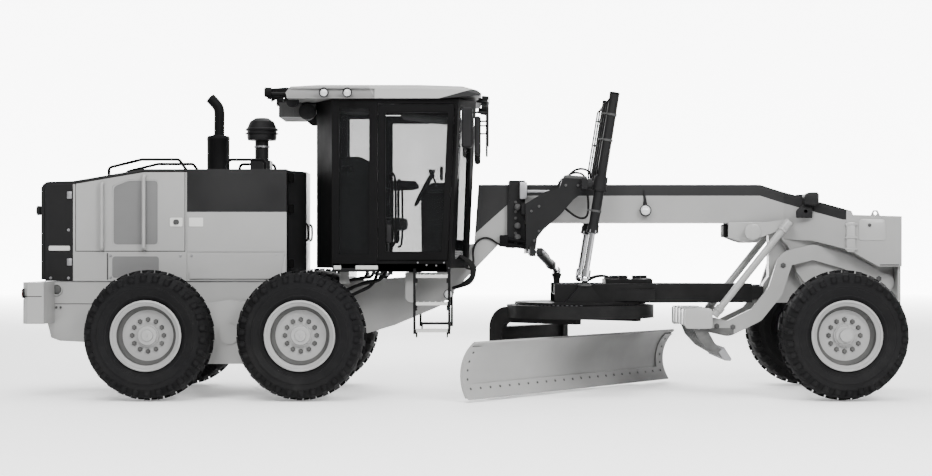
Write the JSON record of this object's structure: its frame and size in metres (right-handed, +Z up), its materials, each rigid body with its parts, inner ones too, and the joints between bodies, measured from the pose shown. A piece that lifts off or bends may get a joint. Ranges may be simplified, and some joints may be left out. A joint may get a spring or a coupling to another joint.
{
  "type": "motor grader",
  "caption": "Articulated motor grader with an enclosed cab, a circle-mounted turning blade under an arched beam and a ripping scarifier ahead of it.",
  "frame": {"origin": "centre of the machine's box on the ground plane, under the tyres", "axes": "+X forward, +Y the machine's left, +Z up"},
  "size_m": [9.055, 2.9669, 3.219],
  "materials": {
    "cast": null,
    "chassis": "satin mid grey enamel",
    "chrome": "polished cylinder rods",
    "dark_paint": "satin black and charcoal enamel",
    "fabric": "dark seat cloth",
    "glass": "lightly tinted cab glass",
    "lamp": "lamp housings and lenses",
    "paint": "semi-gloss light grey machine enamel",
    "plastic": "matte black moulded plastic",
    "rim": "satin grey enamel on the wheels",
    "steel": "worn steel",
    "tyre": "black treaded tyre"
  },
  "bodies": {
    "rear": {"rear_frame": "paint", "tandem_cases": "chassis", "rear_bumper": "paint", "engine": "cast", "hood": "paint", "cooler_box": "dark_paint", "exhaust": "dark_paint", "air_intake": "dark_paint", "hood_rails": "dark_paint"},
    "hood_door_right": {"hood_door_right": "paint"},
    "hood_door_left": {"hood_door_left": "paint"},
    "rear_grille": {"rear_grille": "dark_paint"},
    "front": {"front_frame": "paint", "front_axle": "chassis", "cab_shell": "dark_paint", "cab_glass": "glass", "cab_roof": "paint", "roof_lamps": "lamp", "climate_box": "chassis", "seat": "fabric", "console": "plastic", "steps": "dark_paint", "mirrors": "plastic", "saddle": "dark_paint"},
    "cab_door_right": {"cab_door_right": "dark_paint", "door_glass_right": "glass"},
    "cab_door_left": {"cab_door_left": "dark_paint", "door_glass_left": "glass"},
    "lean_right": {"lean_yoke_right": "chassis"},
    "lean_left": {"lean_yoke_left": "chassis"},
    "knuckle_right": {"knuckle_right": "chassis"},
    "knuckle_left": {"knuckle_left": "chassis"},
    "tie_rod": {"tie_rod": "steel"},
    "drawbar_socket": {"drawbar_socket": "dark_paint"},
    "drawbar": {"drawbar": "dark_paint"},
    "circle": {"circle": "dark_paint"},
    "blade_carrier": {"blade_carrier": "dark_paint"},
    "moldboard": {"moldboard": "paint"},
    "swing_pin": {"swing_pin": "steel"},
    "swing_barrel": {"swing_barrel": "dark_paint"},
    "swing_rod": {"swing_rod": "chrome"},
    "lift_barrel_right": {"lift_barrel_right": "dark_paint"},
    "lift_barrel_left": {"lift_barrel_left": "dark_paint"},
    "lift_rod_right": {"lift_rod_right": "chrome"},
    "lift_rod_left": {"lift_rod_left": "chrome"},
    "scarifier": {"scarifier": "paint"},
    "scarifier_rocker": {"scarifier_rocker": "paint"},
    "scarifier_struts": {"scarifier_struts": "paint"},
    "wheel_right_front_tandem": {"tyre_right_front_tandem": "tyre", "rim_right_front_tandem": "rim"},
    "wheel_right_rear_tandem": {"tyre_right_rear_tandem": "tyre", "rim_right_rear_tandem": "rim"},
    "wheel_right_steer": {"tyre_right_steer": "tyre", "rim_right_steer": "rim"},
    "wheel_left_front_tandem": {"tyre_left_front_tandem": "tyre", "rim_left_front_tandem": "rim"},
    "wheel_left_rear_tandem": {"tyre_left_rear_tandem": "tyre", "rim_left_rear_tandem": "rim"},
    "wheel_left_steer": {"tyre_left_steer": "tyre", "rim_left_steer": "rim"}
  },
  "joints": [
    {"name": "articulation", "type": "hinge", "parent": "rear", "child": "front", "pos_m": [-1.655, 0, 0.89], "axis": [0, 0, 1], "range_deg": [-22, 22]},
    {"name": "wheel_spin_right_front_tandem", "type": "hinge", "parent": "rear", "child": "wheel_right_front_tandem", "pos_m": [-1.685, -1.04, 0.66], "axis": [0, 1, 0], "continuous": true},
    {"name": "wheel_spin_right_rear_tandem", "type": "hinge", "parent": "rear", "child": "wheel_right_rear_tandem", "pos_m": [-3.225, -1.04, 0.66], "axis": [0, 1, 0], "continuous": true},
    {"name": "wheel_spin_left_front_tandem", "type": "hinge", "parent": "rear", "child": "wheel_left_front_tandem", "pos_m": [-1.685, 1.04, 0.66], "axis": [0, 1, 0], "continuous": true},
    {"name": "wheel_spin_left_rear_tandem", "type": "hinge", "parent": "rear", "child": "wheel_left_rear_tandem", "pos_m": [-3.225, 1.04, 0.66], "axis": [0, 1, 0], "continuous": true},
    {"name": "lean_right", "type": "hinge", "parent": "front", "child": "lean_right", "pos_m": [3.793, -0.65, 0.63], "axis": [1, 0, 0], "range_deg": [-18, 18]},
    {"name": "steer_right", "type": "hinge", "parent": "lean_right", "child": "knuckle_right", "pos_m": [3.793, -0.85, 0.66], "axis": [0, 0, 1], "range_deg": [-42, 42]},
    {"name": "wheel_spin_right_steer", "type": "hinge", "parent": "knuckle_right", "child": "wheel_right_steer", "pos_m": [3.793, -1.04, 0.66], "axis": [0, 1, 0], "continuous": true},
    {"name": "lean_left", "type": "hinge", "parent": "front", "child": "lean_left", "pos_m": [3.793, 0.65, 0.63], "axis": [1, 0, 0], "range_deg": [-18, 18]},
    {"name": "steer_left", "type": "hinge", "parent": "lean_left", "child": "knuckle_left", "pos_m": [3.793, 0.85, 0.66], "axis": [0, 0, 1], "range_deg": [-42, 42]},
    {"name": "wheel_spin_left_steer", "type": "hinge", "parent": "knuckle_left", "child": "wheel_left_steer", "pos_m": [3.793, 1.04, 0.66], "axis": [0, 1, 0], "continuous": true},
    {"name": "tie_rod_slide", "type": "slide", "parent": "front", "child": "tie_rod", "axis": [0, 1, 0], "range_m": [-0.17, 0.17]},
    {"name": "hood_door_right", "type": "hinge", "parent": "rear", "child": "hood_door_right", "pos_m": [-2.941, -0.586, 1.9], "axis": [0, 0, 1], "range_deg": [0, 100]},
    {"name": "hood_door_left", "type": "hinge", "parent": "rear", "child": "hood_door_left", "pos_m": [-2.941, 0.586, 1.9], "axis": [0, 0, -1], "range_deg": [0, 100]},
    {"name": "rear_grille", "type": "hinge", "parent": "rear", "child": "rear_grille", "pos_m": [-4.446, -0.58, 1.7], "axis": [0, 0, 1], "range_deg": [0, 100]},
    {"name": "cab_door_right", "type": "hinge", "parent": "front", "child": "cab_door_right", "pos_m": [-0.935, -0.746, 2.2], "axis": [0, 0, -1], "range_deg": [0, 100]},
    {"name": "cab_door_left", "type": "hinge", "parent": "front", "child": "cab_door_left", "pos_m": [-0.935, 0.746, 2.2], "axis": [0, 0, 1], "range_deg": [0, 100]},
    {"name": "drawbar_swing", "type": "hinge", "parent": "front", "child": "drawbar_socket", "pos_m": [3.1, 0, 1.07], "axis": [0, 0, -1], "range_deg": [-6.5, 6.5]},
    {"name": "drawbar_lift", "type": "hinge", "parent": "drawbar_socket", "child": "drawbar", "pos_m": [3.1, 0, 1.07], "axis": [0, 1, 0], "range_deg": [-4, 11]},
    {"name": "circle_turn", "type": "hinge", "parent": "drawbar", "child": "circle", "pos_m": [1.196, 0, 0.94], "axis": [0, 0, 1], "range_deg": [-11, 89]},
    {"name": "blade_tilt", "type": "hinge", "parent": "circle", "child": "blade_carrier", "pos_m": [0.99239, 0.16488, 0.215], "axis": [0.6293, 0.7771, 0], "range_deg": [-5, 38]},
    {"name": "blade_shift", "type": "slide", "parent": "blade_carrier", "child": "moldboard", "axis": [-0.6293, -0.7771, 0], "range_m": [-0.68, 0.68]},
    {"name": "lift_swivel_right", "type": "hinge", "parent": "front", "child": "lift_barrel_right", "pos_m": [1.376, -0.5, 2.213], "axis": [1, 0, 0], "range_deg": [-13, 13]},
    {"name": "lift_rod_right", "type": "slide", "parent": "lift_barrel_right", "child": "lift_rod_right", "axis": [0.1582, 0, 0.9874], "range_m": [-0.15, 0.38]},
    {"name": "lift_swivel_left", "type": "hinge", "parent": "front", "child": "lift_barrel_left", "pos_m": [1.376, 0.5, 2.213], "axis": [1, 0, 0], "range_deg": [-13, 13]},
    {"name": "lift_rod_left", "type": "slide", "parent": "lift_barrel_left", "child": "lift_rod_left", "axis": [0.1582, 0, 0.9874], "range_m": [-0.15, 0.38]},
    {"name": "swing_pin_turn", "type": "hinge", "parent": "front", "child": "swing_pin", "pos_m": [0.735, -0.56, 1.5], "axis": [1, 0, 0], "range_deg": [-4, 4]},
    {"name": "swing_hinge", "type": "hinge", "parent": "swing_pin", "child": "swing_barrel", "pos_m": [0.735, -0.56, 1.5], "axis": [1, 0, 0], "range_deg": [-12, 30]},
    {"name": "swing_rod_slide", "type": "slide", "parent": "swing_barrel", "child": "swing_rod", "axis": [0.2444, 0.945, -0.2172], "range_m": [-0.26, 0.26]},
    {"name": "scarifier_lift", "type": "hinge", "parent": "front", "child": "scarifier", "pos_m": [4.4, 0, 1.18], "axis": [0, 1, 0], "range_deg": [-18, 0]},
    {"name": "scarifier_rocker", "type": "hinge", "parent": "front", "child": "scarifier_rocker", "pos_m": [3, 0, 1.715], "axis": [0, 1, 0], "range_deg": [0, 66]},
    {"name": "scarifier_strut_pivot", "type": "hinge", "parent": "scarifier", "child": "scarifier_struts", "pos_m": [2.6, 0, 0.85], "axis": [0, 1, 0], "range_deg": [0, 3]}
  ],
  "couplings": [
    {"joint": "lean_left", "follows": "lean_right", "ratio": 1},
    {"joint": "steer_left", "follows": "steer_right", "ratio": 1},
    {"joint": "tie_rod_slide", "follows": "steer_right", "m_per_rad": -0.228},
    {"joint": "lift_swivel_right", "follows": "drawbar_swing", "ratio": 1.8},
    {"joint": "lift_swivel_left", "follows": "drawbar_swing", "ratio": 1.8},
    {"joint": "swing_pin_turn", "follows": "drawbar_swing", "ratio": 0.56},
    {"joint": "swing_hinge", "follows": "drawbar_lift", "ratio": 2.33},
    {"joint": "swing_rod_slide", "follows": "drawbar_swing", "m_per_rad": 2.1},
    {"joint": "lift_rod_right", "follows": "drawbar_lift", "m_per_rad": 1.886},
    {"joint": "lift_rod_left", "follows": "drawbar_lift", "m_per_rad": 1.886},
    {"joint": "scarifier_rocker", "follows": "scarifier_lift", "ratio": -3.6},
    {"joint": "scarifier_strut_pivot", "follows": "scarifier_lift", "ratio": -0.12}
  ]
}
